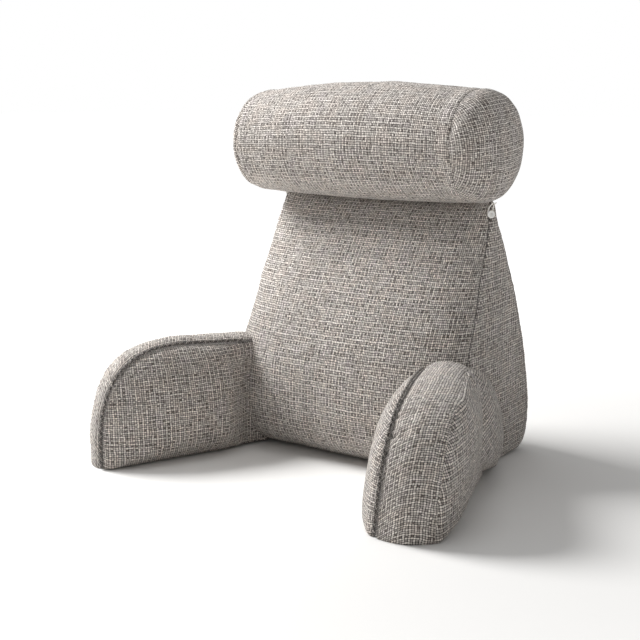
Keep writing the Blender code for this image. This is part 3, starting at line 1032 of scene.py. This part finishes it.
def addButton(side):
    centre, facing, across, upward = buttonFrame(side)
    half, radius, rim = button["thickness"] / 2, button["radius"], button["rim"]
    profile = [
        (0.0, -half - button["stemLength"]),
        (button["stemRadius"], -half - button["stemLength"]),
        (button["stemRadius"], -half),
        (radius - rim, -half),
        (radius - rim * 0.3, -half + rim * 0.3),
        (radius, -half + rim),
        (radius, half - rim),
        (radius - rim * 0.3, half - rim * 0.3),
        (radius - rim, half),
        (radius - rim * 1.6, half - rim * 0.15),
        (radius - rim * 2.2, half - button["dish"]),
        (0.0, half - button["dish"]),
    ]
    form = bmesh.new()
    verts = [form.verts.new((r, 0, h)) for r, h in profile]
    edges = [form.edges.new(pair) for pair in zip(verts, verts[1:])]
    bmesh.ops.spin(
        form, geom=verts + edges, cent=(0, 0, 0), axis=(0, 0, 1), angle=2 * math.pi,
        steps=40, use_merge=True,
    )
    bmesh.ops.remove_doubles(form, verts=form.verts, dist=0.00002)
    bmesh.ops.recalc_face_normals(form, faces=form.faces)
    turned = Matrix((across, upward, facing)).transposed().to_4x4()
    turned.translation = centre
    holes = bmesh.new()
    spread = button["holeSpread"]
    for i in range(4):
        angle = math.pi / 4 + math.pi / 2 * i
        spot = Matrix.Translation((spread * math.cos(angle), spread * math.sin(angle), half))
        bmesh.ops.create_cone(
            holes, cap_ends=True, segments=14, radius1=button["holeRadius"],
            radius2=button["holeRadius"], depth=button["thickness"] * 1.2, matrix=spot,
        )
    disc = finishPiece(form, "button_" + side + "_turned", pearl)
    cutter = finishPiece(holes, "holes", pearl)
    cut = disc.modifiers.new("holes", "BOOLEAN")
    cut.operation = "DIFFERENCE"
    cut.solver = "EXACT"
    cut.object = cutter
    view = bpy.context.evaluated_depsgraph_get()
    drilled = bpy.data.meshes.new_from_object(disc.evaluated_get(view))
    disc.modifiers.clear()
    disc.data = drilled
    bpy.data.objects.remove(cutter)
    disc.data.transform(turned)
    disc.data.shade_smooth()
    disc.data.set_sharp_from_angle(angle=math.radians(35))
    settle(disc, "button_" + side)
    stitches = bmesh.new()
    for i in range(2):
        beside = (2 * i - 1) * spread * button["stitchSpread"]
        path = []
        for k in range(button["stitchSteps"] + 1):
            part = k / button["stitchSteps"]
            lift = half - button["dish"] + button["stitchArch"] * math.sin(math.pi * part)
            lift -= button["stitchSunk"]
            path.append(turned @ Vector((lerp(-spread, spread, part), beside, lift)))
        crossing = addTube(
            "stitch", path, 8, lambda angle, travelled, whole: button["threadRadius"], 0, thread,
        )
        stitches.from_mesh(crossing.data)
        bpy.data.objects.remove(crossing)
    sewn = finishPiece(stitches, "stitches_" + side, thread)
    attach(sewn, "root")


for side in ("left", "right"):
    addButton(side)
print("buttons sewn on")


# the loops' finish

elastic, elasticTree, elasticShader = startMaterial("braided elastic, polyester", 0.75)
# fine diagonal braid, slightly glossy off-white
where = addNode(elasticTree, "TexCoord").outputs["Object"]
braid = addNode(elasticTree, "TexWave", {
    "Vector": where, "Scale": 700.0, "Distortion": 0.6,
}, bands_direction="DIAGONAL")
braidTone = addNode(elasticTree, "Mix", {
    0: braid.outputs["Fac"], 6: linear("#cfccc4"), 7: linear("#faf8f3"),
}, data_type="RGBA").outputs[2]
elasticTree.links.new(braidTone, elasticShader.inputs["Base Color"])
for side in ("left", "right"):
    loops[side].data.materials.append(elastic)
    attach(loops[side], "root")


# studio

studio = {
    "floor": "#f4f3f1",
    "floorSize": 40.0,
    "glowFrom": 0.35,
    "glowTo": 1.9,
    "glow": 0.75,
    "world": 0.325,
    "key": {"left": 1.45, "front": -0.78, "up": 1.35, "size": 1.0, "power": 70},
    "top": {"left": 0.0, "front": -0.2, "up": 1.9, "size": 1.0, "power": 5},
}
form = bmesh.new()
bmesh.ops.create_grid(form, x_segments=1, y_segments=1, size=studio["floorSize"] / 2)
floorPaint, floorTree, floorShader = startMaterial("matt studio paint", 0.9)
# plain and pale, with only soft shadows; further out it glows, painted light that also lights the piece
floorShader.inputs["Base Color"].default_value = linear(studio["floor"])
spot = addNode(floorTree, "TexCoord").outputs["Object"]
away = addNode(floorTree, "VectorMath", {0: spot}, operation="LENGTH").outputs["Value"]
glow = addNode(floorTree, "MapRange", {
    0: away, 1: studio["glowFrom"], 2: studio["glowTo"], 3: 0.0, 4: studio["glow"],
}, interpolation_type="SMOOTHSTEP").outputs[0]
floorShader.inputs["Emission Color"].default_value = (1, 1, 1, 1)
floorTree.links.new(glow, floorShader.inputs["Emission Strength"])  # painted light: the floor glows more further out, so the sweep behind reads white
floor = finishPiece(form, "floor", floorPaint)
floor.location.z = -0.0005

toLeft = Vector((-math.cos(around), -math.sin(around), 0))
toFront = Vector((math.sin(around), -math.cos(around), 0))
for name in ("key", "top"):
    recipe = studio[name]
    lamp = bpy.data.lights.new(name, "AREA")
    lamp.shape = "DISK"
    lamp.size = recipe["size"]
    lamp.energy = recipe["power"]
    holder = bpy.data.objects.new(name, lamp)
    bpy.context.scene.collection.objects.link(holder)
    spot = middle + toLeft * recipe["left"] + toFront * recipe["front"]
    spot.z += recipe["up"]
    holder.location = spot
    holder.rotation_mode = "QUATERNION"
    holder.rotation_quaternion = (middle - spot).to_track_quat("-Z", "Y")
world = bpy.data.worlds.new("studio")
bpy.context.scene.world = world
world.use_nodes = True
air = world.node_tree.nodes["Background"]
air.inputs["Color"].default_value = (1, 1, 1, 1)
ray = addNode(world.node_tree, "LightPath").outputs["Is Camera Ray"]
seen = addNode(world.node_tree, "MapRange", {0: ray, 3: studio["world"], 4: 1.0})
world.node_tree.links.new(seen.outputs[0], air.inputs["Strength"])  # a plain white backdrop
bpy.context.scene.view_settings.view_transform = "Standard"
print("studio lit")
